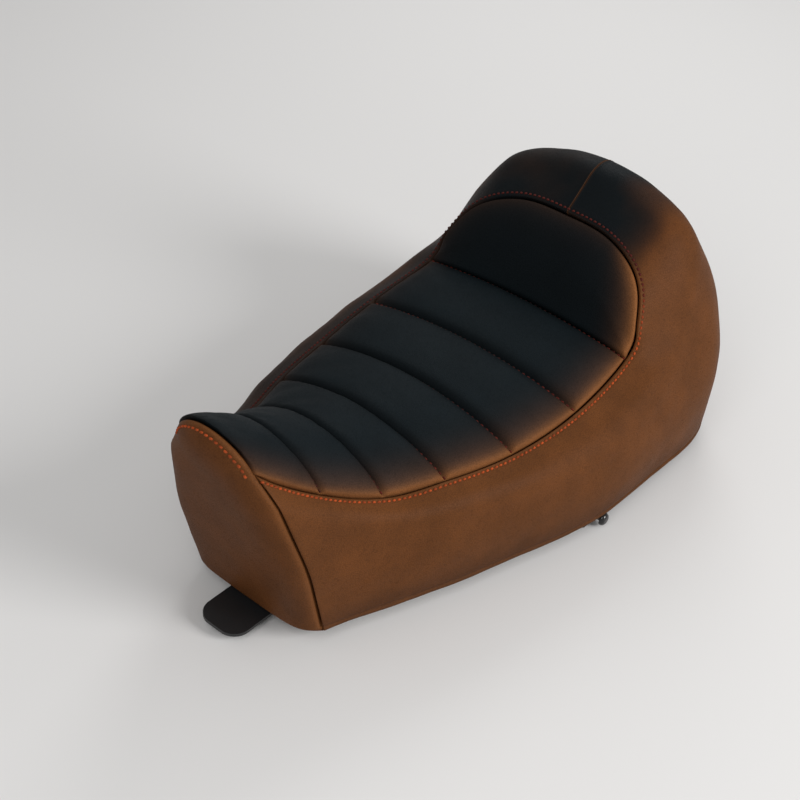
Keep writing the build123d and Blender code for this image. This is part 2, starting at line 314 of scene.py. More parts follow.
def spline(values, knots, at):
    """Smooth curve through values, one row for each knot, read at the places given."""
    values, at = np.asarray(values, float), np.asarray(at, float)
    column = (-1,) + (1,) * (values.ndim - 1)
    steps = np.diff(knots)
    slopes = np.diff(values, axis=0) / steps.reshape(column)
    weight = (steps[:-1] / (steps[:-1] + steps[1:])).reshape(column)
    tangents = np.empty_like(values)
    tangents[1:-1] = slopes[:-1] * (1 - weight) + slopes[1:] * weight
    tangents[0] = slopes[0] * 2 - tangents[1]
    tangents[-1] = slopes[-1] * 2 - tangents[-2]
    index = np.clip(np.searchsorted(knots, at, side="right") - 1, 0, len(knots) - 2)
    h = steps[index].reshape(column)
    t = ((at - knots[index]) / steps[index]).reshape(column)
    return (
        values[index] * (2 * t ** 3 - 3 * t ** 2 + 1)
        + tangents[index] * h * (t ** 3 - 2 * t ** 2 + t)
        + values[index + 1] * (3 * t ** 2 - 2 * t ** 3)
        + tangents[index + 1] * h * (t ** 3 - t ** 2)
    )


def rounded_path(points, rounds, samples=24):
    """Dense points along straight lines whose inner corners are rounded by arcs."""
    path = [points[0]]
    for before, corner, after, radius in zip(points, points[1:], points[2:], rounds):
        inward, onward = (before - corner).normalized(), (after - corner).normalized()
        half = inward.angle(onward) / 2
        room = CORNER_SHARE * min((before - corner).length, (after - corner).length)
        reach = min(radius / math.tan(half), room)
        start, end = corner + inward * reach, corner + onward * reach
        for k in range(samples + 1):
            t = k / samples
            pull = 2 * t * (1 - t) * math.sin(half)
            whole = (1 - t) ** 2 + pull + t ** 2
            path.append((start * (1 - t) ** 2 + corner * pull + end * t ** 2) / whole)
    path.append(points[-1])
    return np.array([tuple(p) for p in path])


def station_axes(station):
    """Origin at the lower edge, outward direction and upward direction of a station's section."""
    base = Vector((*station.base, LIP_Z))
    seam = Vector(station.seam)
    climb = seam - base
    outward = Vector((0, 1, 0)) if station.crown else Vector((-climb.x, -climb.y, 0)).normalized()
    upward = (climb - outward * climb.dot(outward)).normalized()
    return base, outward, upward


class SkirtSurface:
    """Outer face of skirt and bolster, read by station number and by row, down from the edge seam."""

    def __init__(self):
        right = []
        for station in STATIONS:
            base, outward, upward = station_axes(station)
            corners = [base + outward * o + upward * u for o, u in (station.shoulder, station.waist)]
            path = [Vector(station.seam), *corners, base]
            right.append(rounded_path(path, (SHOULDER_ROUND, WAIST_ROUND)))
        left = [path * MIRROR for path in right[:-1]][::-1]
        self.paths = right + left
        self.runs = [run_along(path) for path in self.paths]
        self.lengths = np.array([run[-1] for run in self.runs])
        middle = self.sections([AT_MIDDLE])[:, 0]
        gaps = np.linalg.norm(np.diff(middle, axis=0), axis=1) ** KNOT_POWER
        self.knots = np.concatenate([[0], np.cumsum(gaps)])

    def sections(self, rows, slide=0.0):
        """Points of each station's section at the rows, moved down it by slide."""
        share, more = np.array(rows).T
        return np.array([
            read_line(np.clip(length * share + more + slide, 0.0, length), run, path)
            for length, run, path in zip(self.lengths, self.runs, self.paths)
        ])

    def knot(self, stations):
        """Place on the splines of a station number, whole or not, from 0 at the right front."""
        return np.interp(stations, np.arange(len(self.knots)), self.knots)

    def read(self, stations, rows, slide=0.0):
        """Points for each station number and each row."""
        return spline(self.sections(rows, slide), self.knots, self.knot(stations))

    def normals(self, stations, rows):
        """Outward directions at the same places as read."""
        ahead = self.read(np.minimum(stations + STATION_STEP, len(self.knots) - 1), rows)
        behind = self.read(np.maximum(stations - STATION_STEP, 0), rows)
        down = self.read(stations, rows, DOWN_STEP) - self.read(stations, rows, -DOWN_STEP)
        return unit(np.cross(ahead - behind, down))

    def line(self, stations, row):
        """Points and outward directions along one row."""
        return self.read(stations, [row])[:, 0], self.normals(stations, [row])[:, 0]


class TopSurface:
    """Channelled top, read by station number and by place across, from 1 at the right to -1 at the left."""

    def __init__(self, skirt):
        self.skirt = skirt
        facts = []
        # The seam goes on past the last roll, so its splines read the next station too.
        for number in range(ROLLS + 2):
            rolled = STATIONS[min(number, ROLLS)]
            upward = station_axes(rolled)[2]
            facts.append((*STATIONS[number].seam, rolled.crown, upward.x, upward.z))
        self.facts = np.array(facts)

    def sections(self, stations):
        """Facts of the section at each station number, with the radius and half angle of its arc."""
        facts = spline(self.facts, self.skirt.knots[: len(self.facts)], self.skirt.knot(stations))
        half, crown = facts[:, 1], facts[:, 3]
        return facts, (half ** 2 + crown ** 2) / (2 * crown), 2 * np.arctan(crown / half)

    def read(self, stations, place):
        """Points for each station number and place; place is an array of stations by columns."""
        facts, radius, turn = self.sections(stations)
        x, _, z, crown, up_x, up_z = facts.T[..., None]
        radius, angle = radius[:, None], turn[:, None] * place
        rise = radius * np.cos(angle) - (radius - crown)
        return np.stack([x + up_x * rise, radius * np.sin(angle), z + up_z * rise], axis=-1)

    def arc(self, stations):
        """Half the length of the arc across the top at each station number."""
        _, radius, turn = self.sections(stations)
        return radius * turn

    def normals(self, stations, place):
        """Outward directions at the same places as read."""
        ahead = self.read(np.minimum(stations + STATION_STEP, ROLLS), place)
        behind = self.read(np.maximum(stations - STATION_STEP, 0), place)
        across = self.read(stations, place + ACROSS_STEP) - self.read(stations, place - ACROSS_STEP)
        return unit(np.cross(ahead - behind, across))

    def line(self, station, places):
        """Points and outward directions across the top at one station."""
        at = np.array([float(station)])
        return self.read(at, places[None])[0], self.normals(at, places[None])[0]

    def seam(self, station):
        """Even points and their outward directions across the top at one station, from left to right."""
        count = int(round(self.arc(np.array([float(station)]))[0] * 2 / PANEL_MESH))
        return self.line(station, np.linspace(-1, 1, count + 1))


SKIRT = SkirtSurface()
TOP = TopSurface(SKIRT)
NOSE_UPWARD = station_axes(STATIONS[0])[2]
NOSE_OUTWARD = np.array((-NOSE_UPWARD.z, 0.0, NOSE_UPWARD.x))


def sinks(normals, neighbours, away):
    """Directions in which a panel's edge turns down: halfway to the next panel's at the seam."""
    return unit(normals + neighbours * fading(away, SEAM_LEAN)[..., None])


def backrest_outward():
    """Direction the backrest panel faces, square to the plane of its arch."""
    right, over = SKIRT.read(np.array([ROLLS, REAR_CENTRE]), [AT_SEAM])[:, 0]
    below = TOP.line(ROLLS, np.zeros(1))[0][0]
    return unit(np.cross(np.array((0.0, right[1], 0.0)), below - over))


def along_row(first, last, row):
    """Fine station numbers along a row of the skirt and their distances along it."""
    fine = np.linspace(first, last, FINE_STEPS)
    return fine, run_along(SKIRT.read(fine, [row])[:, 0])


def even_stations(first, last, spacing, row):
    """Station numbers along a row of the skirt, at about even distances."""
    fine, run = along_row(first, last, row)
    count = max(2, int(round(run[-1] / spacing)) + 1)
    return np.interp(np.linspace(0, run[-1], count), run, fine)


def new_object(name, vertices, faces):
    """Smooth mesh object at the origin, with its normals turned outward."""
    mesh = bpy.data.meshes.new(name)
    mesh.from_pydata([tuple(v) for v in vertices], [], faces)
    mesh.validate()
    shell = bmesh.new()
    shell.from_mesh(mesh)
    bmesh.ops.recalc_face_normals(shell, faces=shell.faces)
    shell.to_mesh(mesh)
    shell.free()
    mesh.polygons.foreach_set("use_smooth", [True] * len(mesh.polygons))
    piece = bpy.data.objects.new(name, mesh)
    bpy.context.scene.collection.objects.link(piece)
    return piece


def write_mark(piece, mark, values):
    """Writes a named value on each point of a piece."""
    layer = piece.data.attributes.new(mark, "FLOAT", "POINT")
    layer.data.foreach_set("value", values)


def grid_faces(rows, columns):
    """Quads of a grid whose vertices are numbered row by row."""
    corners = [i * columns + j for i in range(rows - 1) for j in range(columns - 1)]
    return [(a, a + 1, a + columns + 1, a + columns) for a in corners]


def ring_faces(rings, around, offset=0, closed=False):
    """Quads between rings of vertices numbered ring by ring; closed joins the last ring to the first."""
    faces = []
    for r in range(rings if closed else rings - 1):
        here, there = offset + r * around, offset + (r + 1) % rings * around
        for k in range(around):
            after = (k + 1) % around
            faces.append((here + k, here + after, there + after, there + k))
    return faces


def padded_grid(name, face, lining, marks):
    """Closed pad from a grid of points for its face and one for its lining, with marks on its points."""
    rows, columns = face.shape[:2]
    count = rows * columns
    faces = grid_faces(rows, columns)
    faces += [tuple(k + count for k in reversed(quad)) for quad in faces]
    rim = list(range(columns))
    rim += [i * columns + columns - 1 for i in range(1, rows)]
    rim += [(rows - 1) * columns + j for j in range(columns - 2, -1, -1)]
    rim += [i * columns for i in range(rows - 2, 0, -1)]
    faces += [(b, a, a + count, b + count) for a, b in zip(rim, rim[1:] + rim[:1])]
    piece = new_object(name, np.concatenate([face.reshape(-1, 3), lining.reshape(-1, 3)]), faces)
    for mark, values in marks.items():
        write_mark(piece, mark, np.tile(values.reshape(-1), 2))
    return piece


def padded_rings(name, face, lining, marks):
    """Closed pad from rings of points that end in one middle point, for its face and its lining."""
    rings, around = face.shape[:2]
    count = (rings - 1) * around + 1
    vertices = np.concatenate([
        face[:-1].reshape(-1, 3), face[-1:, 0], lining[:-1].reshape(-1, 3), lining[-1:, 0]
    ])
    faces = []
    for side in (0, count):
        faces += ring_faces(rings - 1, around, side)
        inner, middle = side + (rings - 2) * around, side + count - 1
        faces += [(inner + k, inner + (k + 1) % around, middle) for k in range(around)]
    faces += [(k, (k + 1) % around, (k + 1) % around + count, k + count) for k in range(around)]
    piece = new_object(name, vertices, faces)
    for mark, values in marks.items():
        write_mark(piece, mark, np.tile(np.concatenate([values[:-1].reshape(-1), values[-1:, 0]]), 2))
    return piece


def finish(piece, material):
    """Gives a piece its material and its place on the seat's one body."""
    piece.data.materials.clear()
    piece.data.materials.append(material)
    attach(piece, "root")


def finish_pad(piece, material, node):
    """Finishes a pad and puts it in the place of the plain solid it stands for."""
    finish(piece, material)
    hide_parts(node)


def material_of(name):
    """Material of a piece that is already made."""
    return bpy.data.objects[name].data.materials[0]


def noise_at(points, size, seed):
    """Smooth noise from -1 to 1 at each point, with features of about that size in metres."""
    shift = Vector((seed * 7.31, seed * 3.17, seed * 5.53))
    values = [noise.noise(Vector(p) / size + shift) for p in points.reshape(-1, 3)]
    return np.array(values).reshape(points.shape[:-1])


def puckers(seam_places, away, reach, deep, seed):
    """Short gathers that run out from a seam and fade within reach."""
    gathers = noise_at(seam_places, 0.0065, seed) + 0.5 * noise_at(seam_places, 0.0033, seed + 1)
    return deep * gathers * fading(away, reach, 1) * (1 - fading(away, 0.0012, 1))


def inflate(points, pins):
    """Cloth simulation of a grid of leather over foam: pinned points stay, the rest swells up to a cap."""
    rows, columns = points.shape[:2]
    cloth = new_object("swelling", points.reshape(-1, 3), grid_faces(rows, columns))
    holders = cloth.vertex_groups.new(name="pins")
    holders.add([int(k) for k in np.flatnonzero(pins.reshape(-1))], 1.0, "REPLACE")
    normal = np.array(cloth.data.polygons[len(cloth.data.polygons) // 2].normal)
    if normal @ unit(points.reshape(-1, 3).mean(axis=0) - INSIDE) < 0:
        cloth.data.flip_normals()
    sim = cloth.modifiers.new("cloth", "CLOTH")
    for key, value in CLOTH_SETTINGS.items():
        setattr(sim.settings, key, value)
    sim.settings.effector_weights.gravity = 0
    sim.point_cache.frame_start = 1
    sim.point_cache.frame_end = CLOTH_FRAMES
    scene = bpy.context.scene
    for number in range(1, CLOTH_FRAMES + 1):
        scene.frame_set(number)
    swollen = cloth.evaluated_get(bpy.context.evaluated_depsgraph_get()).to_mesh()
    result = np.zeros(len(swollen.vertices) * 3)
    swollen.vertices.foreach_get("co", result)
    moved = result.reshape(points.shape) - points
    scene.frame_set(1)
    mesh = cloth.data
    bpy.data.objects.remove(cloth)
    bpy.data.meshes.remove(mesh)
    far = np.linalg.norm(moved, axis=-1, keepdims=True)
    return moved * np.minimum(1.0, CLOTH_CAP / np.maximum(far, 1e-9))


def simulated_lift(stations, places):
    """How far the simulation lifts the top off its plain arch, at station numbers and at places across."""
    rows = np.linspace(0, ROLLS, ROLLS * CLOTH_ROWS + 1)
    columns = np.linspace(-1, 1, CLOTH_COLUMNS)
    grid = np.repeat(columns[None], len(rows), axis=0)
    start = TOP.read(rows, grid)
    pins = np.zeros(start.shape[:2], bool)
    pins[::CLOTH_ROWS] = True
    pins[:, [0, -1]] = True
    lift = (inflate(start, pins) * TOP.normals(rows, grid)).sum(axis=-1)
    return spline(spline(lift, rows, stations).T, columns, places).T


def sign(operation, swapped=False):
    """Method for one of Python's signs: it adds a Math node between two values."""

    def method(self, other):
        inputs = (other, self) if swapped else (self, other)
        return self.shader.node("Math", {"operation": operation}, *inputs)

    return method


class Value:
    """A shader socket with arithmetic: each operation adds the node that works it out."""

    def __init__(self, shader, socket):
        self.shader, self.socket = shader, socket

    __add__ = sign("ADD")
    __radd__ = sign("ADD", swapped=True)
    __sub__ = sign("SUBTRACT")
    __rsub__ = sign("SUBTRACT", swapped=True)
    __mul__ = sign("MULTIPLY")

    def clamped(self):
        """The same value, kept between 0 and 1."""
        return self.shader.node("Math", {"operation": "ADD", "use_clamp": True}, self, 0.0)

    def rising(self, low, high):
        """0 below low, 1 above high and smooth between."""
        settings = {"interpolation_type": "SMOOTHSTEP"}
        return self.shader.node("MapRange", settings, self, low, high, 0.0, 1.0)


class Shader:
    """A material whose nodes are written as expressions."""

    def __init__(self, name):
        self.material = bpy.data.materials.new(name)
        self.material.use_nodes = True
        self.tree = self.material.node_tree
        self.tree.nodes.clear()
        output = self.tree.nodes.new("ShaderNodeOutputMaterial")
        self.surface = self.tree.nodes.new("ShaderNodeBsdfPrincipled")
        self.tree.links.new(self.surface.outputs[0], output.inputs["Surface"])
        self.places = self.node("TexCoord", {}, out="Object")

    def node(self, kind, settings, *inputs, out=0, **named):
        """Adds a node of a kind, sets it, joins its sockets by order or by name and returns one output."""
        made = self.tree.nodes.new("ShaderNode" + kind)
        for key, value in settings.items():
            setattr(made, key, value)
        for socket, value in zip(made.inputs, inputs):
            self.join(socket, value)
        for key, value in named.items():
            self.join(made.inputs[key], value)
        return Value(self, made.outputs[out])

    def join(self, socket, value):
        """Links a value to a socket, or sets the socket to a plain number or colour."""
        if isinstance(value, Value):
            self.tree.links.new(value.socket, socket)
        else:
            socket.default_value = value

    def set(self, **sockets):
        """Sets or links sockets of the surface shader, with _ for a space in the name."""
        for key, value in sockets.items():
            self.join(self.surface.inputs[key.replace("_", " ")], value)

    def mark(self, name):
        """A named value on the piece's points."""
        return self.node("Attribute", {"attribute_name": name}, out="Fac")

    def noise(self, scale, detail=2.0, roughness=0.5, distortion=0.0):
        """Smooth noise with a number of features to a metre."""
        return self.node(
            "TexNoise", {}, Vector=self.places, Scale=scale, Detail=detail, Roughness=roughness,
            Distortion=distortion,
        )

    def cells(self, scale, places, feature="F1"):
        """Cells like pebbles, or the lines between them, with a number of them to a metre."""
        return self.node("TexVoronoi", {"feature": feature}, Vector=places, Scale=scale, out="Distance")

    def mix(self, factor, low, high):
        """Colour between two colours, each plain or a value."""
        made = self.tree.nodes.new("ShaderNodeMix")
        made.data_type = "RGBA"
        self.join(made.inputs[0], factor)
        for index, colour in ((6, low), (7, high)):
            self.join(made.inputs[index], colour if isinstance(colour, Value) else linear(colour))
        return Value(self, made.outputs[2])

    def warped(self, amount, scale):
        """Object places pushed about by noise, so that cells and lines lose their regular look."""
        wander = self.node("TexNoise", {}, Vector=self.places, Scale=scale, Detail=2.0, out="Color")
        centred = self.node("VectorMath", {"operation": "SUBTRACT"}, wander, (0.5, 0.5, 0.5))
        scaled = self.node("VectorMath", {"operation": "MULTIPLY"}, centred, (amount, amount, amount))
        return self.node("VectorMath", {"operation": "ADD"}, self.places, scaled)

    def bump(self, height, strength, distance, **under):
        """Bumps of a height; under may give the Normal that they lie on."""
        return self.node(
            "Bump", {}, Strength=strength, Distance=distance, Height=height, out="Normal", **under
        )


def linear(colour):
    """Shader colour for a colour written as it looks on a screen."""
    return tuple(c / 12.92 if c <= 0.04045 else ((c + 0.055) / 1.055) ** 2.4 for c in colour) + (1.0,)


def shaded(colour, amount):
    """A colour made darker or lighter."""
    return [min(1.0, c * amount) for c in colour]


def leather(name, body, cover, gloss, shine):
    """Grained leather, with painted shade mixed in as a dark tone and painted highlight as a lighter tone
    along edges.
    """
    shader = Shader(name)
    patches = shader.noise(9.0, detail=3.0, roughness=0.55)
    cloudy = shader.noise(34.0, detail=4.0, roughness=0.6)
    # Painted shade: the dark top tone, mixed in by a mark on the points and broken up by large patches
    wear = shader.mark("wear")
    wear = (wear + (patches - 0.5) * 0.5 * wear.rising(0.02, 0.4)).clamped()
    # Painted highlight: the lighter tone along edges
    edge = (shader.mark("edge") * (0.75 + cloudy * 0.5)).clamped()
    base = shader.mix(cloudy.rising(0.3, 0.75), shaded(body, 0.94), shaded(body, 1.06))
    base = shader.mix(wear, base, cover.top_shade_colour)
    base = shader.mix(edge * 0.85, base, cover.painted_highlight_colour)
    warped = shader.warped(0.0006, 420.0)
    pebbles = shader.cells(cover.grain_scale, warped)
    creases = 1.0 - shader.cells(cover.grain_scale * 0.55, warped, "DISTANCE_TO_EDGE").rising(0.0, 0.16)
    base = shader.mix(creases * 0.28, base, shaded(cover.top_shade_colour, 0.5))
    height = pebbles * -0.5 - creases * 0.55 + shader.noise(1500.0, detail=3.0) * 0.22
    wrinkles = shader.noise(70.0, detail=4.0, roughness=0.65, distortion=0.6)
    grain = shader.bump(height, 0.42, 0.00022, Normal=shader.bump(wrinkles, 0.16, 0.0012))
    rough = gloss + (patches - 0.5) * 0.10 + creases * 0.12 + edge * 0.05
    shader.set(Base_Color=base, Roughness=rough, Normal=grain, Specular_IOR_Level=shine)
    return shader.material


def thread(name, colour, dull):
    """Twisted thread with a little wax on it, darkened to a second colour as painted shade where the stitches
    carry a shade value.
    """
    shader = Shader(name)
    twist = shader.node("TexWave", {"wave_type": "BANDS"}, Vector=shader.places, Scale=520.0, Distortion=1.5)
    tone = shader.noise(260.0)
    base = shader.mix(tone.rising(0.3, 0.7), shaded(colour, 0.78), shaded(colour, 1.12))
    # Painted shade on stitches that lie in shade
    base = shader.mix(shader.mark("dull"), base, dull)
    shader.set(Base_Color=base, Roughness=0.6 + tone * 0.15, Normal=shader.bump(twist, 0.5, 0.0002))
    shader.set(Specular_IOR_Level=0.12)
    return shader.material


def moulded_plastic():
    """Black moulded plastic with a fine spark-eroded texture and dust in it."""
    shader = Shader("moulded_plastic")
    dust = shader.noise(26.0, detail=5.0, roughness=0.65)
    base = shader.mix(dust.rising(0.45, 0.85) * 0.6, (0.105, 0.105, 0.11), (0.19, 0.18, 0.17))
    shader.set(Base_Color=base, Roughness=0.5 + dust * 0.2)
    shader.set(Normal=shader.bump(shader.noise(900.0), 0.25, 0.0002))
    return shader.material


def black_steel():
    """Powder-coated steel, slightly worn through where it rubs."""
    shader = Shader("black_steel")
    scuff = shader.noise(120.0, detail=6.0, roughness=0.7)
    bare = scuff.rising(0.66, 0.74)
    base = shader.mix(bare, (0.10, 0.10, 0.105), (0.42, 0.41, 0.40))
    shader.set(Base_Color=base, Metallic=bare * 0.8, Roughness=0.38 + scuff * 0.15)
    shader.set(Normal=shader.bump(shader.noise(420.0, detail=1.0), 0.2, 0.0003))
    return shader.material


def rubber(name, gloss, dusty):
    """Black rubber with a bloom of pale dust."""
    shader = Shader(name)
    bloom = shader.noise(60.0, detail=4.0)
    base = shader.mix(bloom.rising(0.4, 0.8) * dusty, (0.09, 0.09, 0.09), (0.2, 0.2, 0.195))
    shader.set(Base_Color=base, Roughness=gloss + bloom * 0.3 * dusty)
    shader.set(Normal=shader.bump(shader.noise(500.0), 0.2 * dusty, 0.0002))
    return shader.material


def zinc_steel():
    """Zinc-plated steel for screws and staples."""
    shader = Shader("zinc_steel")
    haze = shader.noise(180.0, detail=3.0)
    base = shader.mix(haze, (0.62, 0.61, 0.58), (0.74, 0.73, 0.71))
    shader.set(Base_Color=base, Metallic=1.0, Roughness=0.3 + haze * 0.2)
    return shader.material


class SeatCoverSettings(bpy.types.PropertyGroup):
    """Sizes and colours of the leather cover."""

    roll_rise: FloatProperty(
        name="Roll rise", description="How far each sewn roll stands up between its seams",
        default=0.0052, min=0.0, max=0.012, unit="LENGTH",
    )
    pitch: FloatProperty(
        name="Stitch pitch", description="Distance from one stitch to the next", unit="LENGTH",
        default=0.0046,
    )
    thread_width: FloatProperty(
        name="Thread width", description="Thickness of the sewing thread", default=0.0011, unit="LENGTH",
    )
    grain_scale: FloatProperty(name="Grain scale", description="Grain pebbles to a metre", default=1150.0)
    skirt_colour: FloatVectorProperty(
        name="Skirt leather", description="Saddle brown of the skirt", subtype="COLOR",
        default=(0.375, 0.222, 0.108),
    )
    # Painted shade: the top's dark leather, made darker and tinted teal, and also the tone that painted shade
    # mixes in elsewhere
    top_shade_colour: FloatVectorProperty(
        name="Top leather", description="Dark tone of the channelled top", subtype="COLOR",
        default=(0.060, 0.078, 0.087),
    )
    # Painted highlight: the lighter tone mixed in along edges where light catches them
    painted_highlight_colour: FloatVectorProperty(
        name="Painted highlight", description="Tone where leather is pulled over an edge", subtype="COLOR",
        default=(0.54, 0.345, 0.195),
    )
    thread_colour: FloatVectorProperty(
        name="Thread", description="Colour of the top-stitching", subtype="COLOR", default=(0.62, 0.27, 0.12),
    )
    # Painted shade on the top-stitching round the bolster and on the far side
    shaded_thread_colour: FloatVectorProperty(
        name="Shaded thread", description="Colour of the top-stitching round the bolster", subtype="COLOR",
        default=(0.26, 0.088, 0.08),
    )
    channel_thread: FloatVectorProperty(
        name="Channel thread", description="Colour of the stitches between the rolls", subtype="COLOR",
        default=(0.37, 0.13, 0.095),
    )


class SeatStudioSettings(bpy.types.PropertyGroup):
    """Camera of the studio."""

    azimuth: FloatProperty(
        name="Azimuth", description="Camera's turn round the seat", subtype="ANGLE",
        default=math.radians(-52.3),
    )
    elevation: FloatProperty(
        name="Elevation", description="Camera's height angle", default=math.radians(37.7), subtype="ANGLE",
    )
    roll: FloatProperty(
        name="Roll", description="Camera's tilt to one side", default=math.radians(4.6), subtype="ANGLE",
    )
    distance: FloatProperty(
        name="Distance", description="Camera to the point it looks at", default=1.2283, unit="LENGTH",
    )
    target: FloatVectorProperty(
        name="Target", description="Point the camera looks at", subtype="TRANSLATION",
        default=(-0.2378, 0.0012, 0.1075),
    )
    lens: FloatProperty(name="Lens", description="Focal length", default=67.5, unit="CAMERA")


def roll_shape(stations):
    """0 at each channel and 1 on the ridge of each roll."""
    part = stations - np.floor(stations)
    return (1 - (2 * part - 1) ** 2) ** ROLL_ROUND


def top_rows():
    """Station numbers of the channelled top's rows, each with the depth of its edge or channel."""
    fine = np.linspace(0, ROLLS, 60 * ROLLS + 1)
    run = run_along(TOP.read(fine, np.zeros((len(fine), 1)))[:, 0])
    channels = np.interp(np.arange(ROLLS + 1), fine, run)
    places = []
    for k in range(ROLLS):
        low, high = channels[k], channels[k + 1]
        first = SEWN_EDGE if k == 0 else CHANNEL
        last = SEWN_EDGE if k == ROLLS - 1 else CHANNEL[1:]
        places += [(low + turn.away, turn.deep) for turn in first]
        inner_low, inner_high = low + first[-1].away, high - last[-1].away
        count = int(round((inner_high - inner_low) / PANEL_MESH))
        places += [(p, 0.0) for p in np.linspace(inner_low, inner_high, count + 1)[1:-1]]
        places += [(high - turn.away, turn.deep) for turn in reversed(last)]
    distances, depths = np.array(places).T
    return np.interp(distances, run, fine), depths


def across_columns(stations):
    """Places across the top for each station, the depth of each column's edge and its way from the edge."""
    arc = TOP.arc(stations)[:, None]
    away, depth = np.array(TOP_EDGE).T
    inner = np.linspace(0, 1, TOP_COLUMNS + 1)[1:-1]
    right = 1 - away / arc
    middle = right[:, -1:] * (1 - 2 * inner)
    place = np.concatenate([right, middle, -right[:, ::-1]], axis=1)
    depths = np.concatenate([depth, np.zeros(len(inner)), depth[::-1]])
    return place, depths, (1 - np.abs(place)) * arc


class SEAT_OT_channelled_top(bpy.types.Operator):
    """Sews the six padded rolls of the top"""

    bl_idname = "seat.channelled_top"
    bl_label = "Channelled top"

    def execute(self, context):
        cover = context.scene.seat_cover
        stations, row_depth = top_rows()
        place, column_depth, from_edge = across_columns(stations)
        face = TOP.read(stations, place)
        normals = TOP.normals(stations, place)
        channel = np.round(stations)
        from_channel = np.abs(stations - channel)[:, None] * ROLL_LENGTH
        swell = cover.roll_rise * roll_shape(np.clip(stations, 1e-6, ROLLS - 1e-6))[:, None]
        swell = swell * smoothstep(0.0, 0.016, from_edge) ** ROLL_END_ROUND
        lift = simulated_lift(stations, place[len(place) // 2])
        swell = swell * WRITTEN_SHARE + lift * CLOTH_SHARE
        gathered = face.copy()
        gathered[..., 0] = STATIONS[0].seam[0] + channel[:, None] * GATHER_STEP
        swell = swell + puckers(gathered, from_channel, 0.007, 0.0007, 3)
        swell = swell + 0.0005 * noise_at(face, 0.035, 5) * smoothstep(0.0, 0.01, from_edge)
        depth = np.maximum(row_depth[:, None], column_depth)
        turned = (column_depth > TURNED) | (row_depth[:, None] > CHANNEL[0].deep)
        beside = SKIRT.normals(stations, [AT_SEAM])
        beside = np.where(place[..., None] > 0, beside, beside * MIRROR)
        from_nose = np.linalg.norm(face - face[:1], axis=-1)
        sink = sinks(sinks(normals, NOSE_OUTWARD, from_nose), beside, from_edge)
        surface = face + normals * np.where(turned, 0.0, swell)[..., None] - sink * depth[..., None]
        # Painted highlight along the edge, on the near side only, and painted shade that darkens the top and
        # makes channels darker than rolls.
        edge = glow(from_edge, TOP_GLOW) * (1 - 0.85 * smoothstep(-0.01, 0.05, face[..., 1]))
        wear = smoothstep(0.004, 0.030, from_edge) * 0.3 + 0.68
        wear = wear * (1.02 - 0.5 * smoothstep(0.001, 0.012, from_channel))
        marks = {"wear": wear, "edge": edge}
        piece = padded_grid("channelled_top", surface, face - sink * LINING_DEPTH, marks)
        material = leather("top_leather", [c * 1.7 for c in cover.top_shade_colour], cover, 0.54, 0.03)
        finish_pad(piece, material, "channel_insert")
        return {"FINISHED"}


def thin_plate(places, heights):
    """Smoothest sheet through heights at the given places of a plane, as a function of places."""

    def bend(a, b):
        square = ((a[:, None, :] - b[None, :, :]) ** 2).sum(axis=-1) + 1e-12
        return square * np.log(square)

    count = len(places)
    plane = np.concatenate([np.ones((count, 1)), places], axis=1)
    system = np.zeros((count + 3, count + 3))
    system[:count, :count] = bend(places, places)
    system[:count, count:] = plane
    system[count:, :count] = plane.T
    weights = np.linalg.solve(system, np.concatenate([heights, np.zeros(3)]))

    def height(at):
        flat = at.reshape(-1, 2)
        found = bend(flat, places) @ weights[:count] + weights[count] + flat @ weights[count + 1:]
        return found.reshape(at.shape[:-1])

    return height


def crossing(first, second):
    """Where the line first ends against the line second, as places along both, counted in points."""
    a, b = first[:-1, None], first[1:, None]
    c, d = second[None, :-1], second[None, 1:]
    r, s = b - a, d - c
    across = r[..., 0] * s[..., 1] - r[..., 1] * s[..., 0]
    across = np.where(np.abs(across) < 1e-16, 1e-16, across)
    gap = c - a
    t = (gap[..., 0] * s[..., 1] - gap[..., 1] * s[..., 0]) / across
    u = (gap[..., 0] * r[..., 1] - gap[..., 1] * r[..., 0]) / across
    hits = np.argwhere((t >= 0) & (t <= 1) & (u >= 0) & (u <= 1))
    i, j = hits[-1]
    return i + t[i, j], j + u[i, j]


def inset_sides(sides, away):
    """Sides of a closed outline moved inward and cut where they meet."""
    if not away:
        return sides
    moved = []
    for side in sides:
        tangent = unit(np.gradient(side, axis=0))
        line = side + np.stack([-tangent[:, 1], tangent[:, 0]], axis=1) * away
        reach = 3 * away + 0.002
        ends = line[0] - tangent[0] * reach, line[-1] + tangent[-1] * reach
        moved.append(np.concatenate([ends[:1], line, ends[1:]]))
    cuts = [crossing(line, moved[(k + 1) % len(moved)]) for k, line in enumerate(moved)]
    return [
        read_line(np.linspace(cuts[k - 1][1], cuts[k][0], FINE_STEPS), np.arange(len(line)), line)
        for k, line in enumerate(moved)
    ]


def way_from(places, line):
    """Distance of each place from a line of points."""
    start, run = line[:-1], np.diff(line, axis=0)
    offset = places[..., None, :] - start
    part = np.clip((offset * run).sum(axis=-1) / (run ** 2).sum(axis=-1), 0.0, 1.0)
    return np.linalg.norm(offset - part[..., None] * run, axis=-1).min(axis=-1)


def swelling(puff, bulge, away):
    """How far a stuffed panel stands out at a distance from the seam that holds it down."""
    return puff * (1 - fading(np.maximum(away, 0.0), bulge, 1.1))


